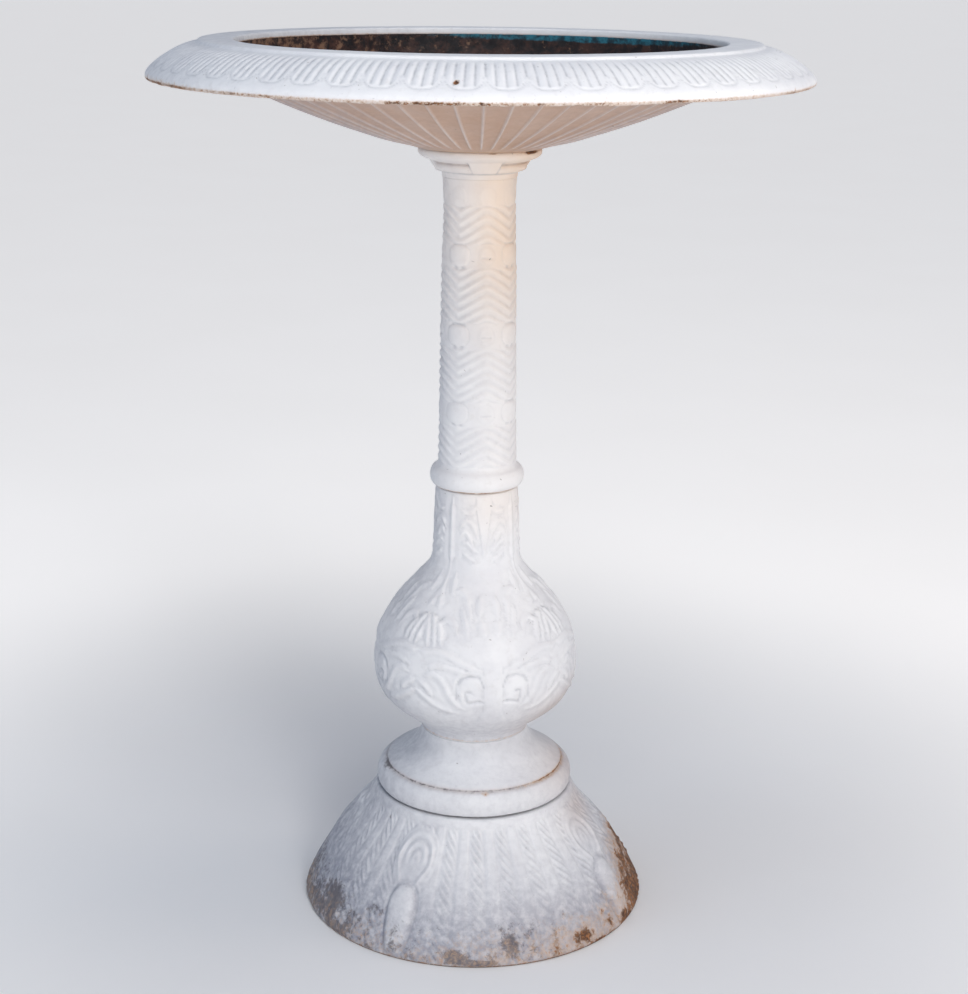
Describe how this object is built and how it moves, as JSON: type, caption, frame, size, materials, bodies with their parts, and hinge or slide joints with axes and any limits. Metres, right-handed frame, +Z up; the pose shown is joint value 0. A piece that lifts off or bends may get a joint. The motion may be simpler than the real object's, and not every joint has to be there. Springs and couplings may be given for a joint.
{
  "type": "cast-iron pedestal basin",
  "caption": "Painted cast-iron pedestal basin: shallow conical bowl with drooping ornamented rim on a slender relief column, gourd-shaped baluster, ogee plinth and fluted bell foot.",
  "frame": {"origin": "centre of the foot, on the surface that it stands on", "axes": "+Z up along the column's axis; the column's relief has its main face towards -Y"},
  "size_m": [0.5716, 0.5716, 0.8],
  "materials": {
    "basin_paint": "chalky old white paint, chipped to rust at the edges",
    "capital_paint": "chalky old white paint with a warm rust stain",
    "shaft_paint": "chalky old white paint",
    "gourd_paint": "chalky old white paint",
    "plinth_paint": "chalky old white paint",
    "skirt_paint": "chalky old white paint, grime and rust towards the floor",
    "hardware_steel": "dull weathered steel",
    "cap_nut_brass": "tarnished",
    "seal_rubber": "matt",
    "gasket_rubber": "matt",
    "bar_iron": "bare rusty iron"
  },
  "bodies": {
    "root": {"basin": "basin_paint", "capital": "capital_paint", "column_shaft": "shaft_paint", "gourd": "gourd_paint", "plinth": "plinth_paint", "skirt_base": "skirt_paint", "tie_rod": "hardware_steel", "basin_cap_nut": "cap_nut_brass", "basin_washer": "hardware_steel", "basin_seal": "seal_rubber", "basin_gasket": "gasket_rubber", "clamp_bar": "bar_iron", "clamp_washer": "hardware_steel", "clamp_nut": "hardware_steel", "lock_nut": "hardware_steel"}
  },
  "joints": []
}
